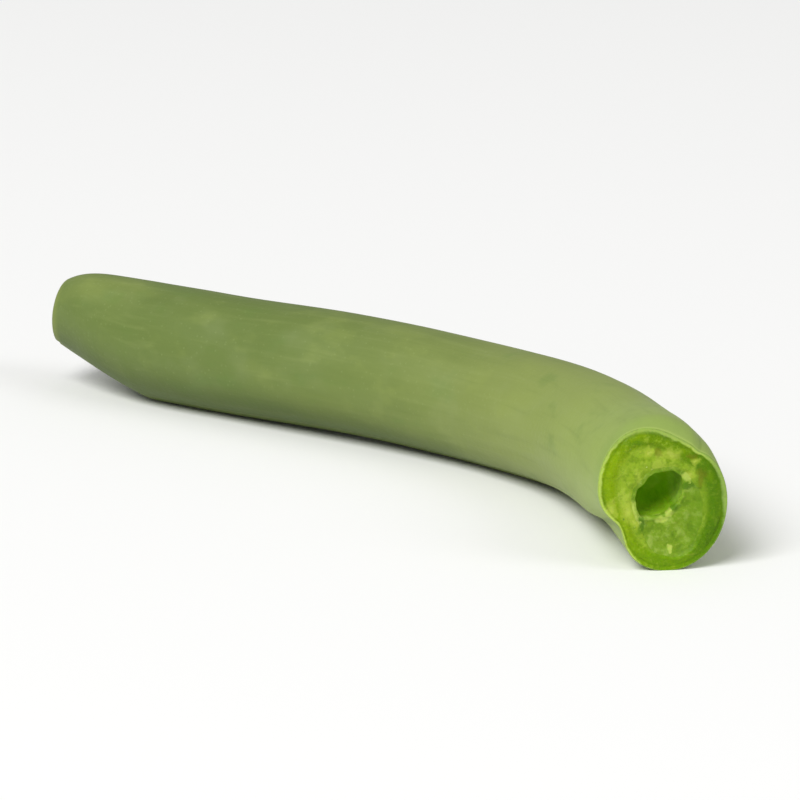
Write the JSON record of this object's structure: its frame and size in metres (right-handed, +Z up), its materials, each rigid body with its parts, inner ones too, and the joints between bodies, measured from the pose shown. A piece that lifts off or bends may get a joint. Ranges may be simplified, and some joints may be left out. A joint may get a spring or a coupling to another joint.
{
  "type": "green bean",
  "caption": "Trimmed green bean pod lying on its side, gently bowed, cut across at its thick end so that the seed chamber shows, and nipped at its thin end.",
  "frame": {"origin": "on the surface that the pod lies on, under the middle of its box", "axes": "+X from the nipped thin end to the cut thick end, +Y towards the outer side of its bow, +Z up"},
  "size_m": [0.0734, 0.018, 0.0102],
  "materials": {
    "pod_skin": "matte"
  },
  "bodies": {
    "root": {"pod": "pod_skin"}
  },
  "joints": []
}
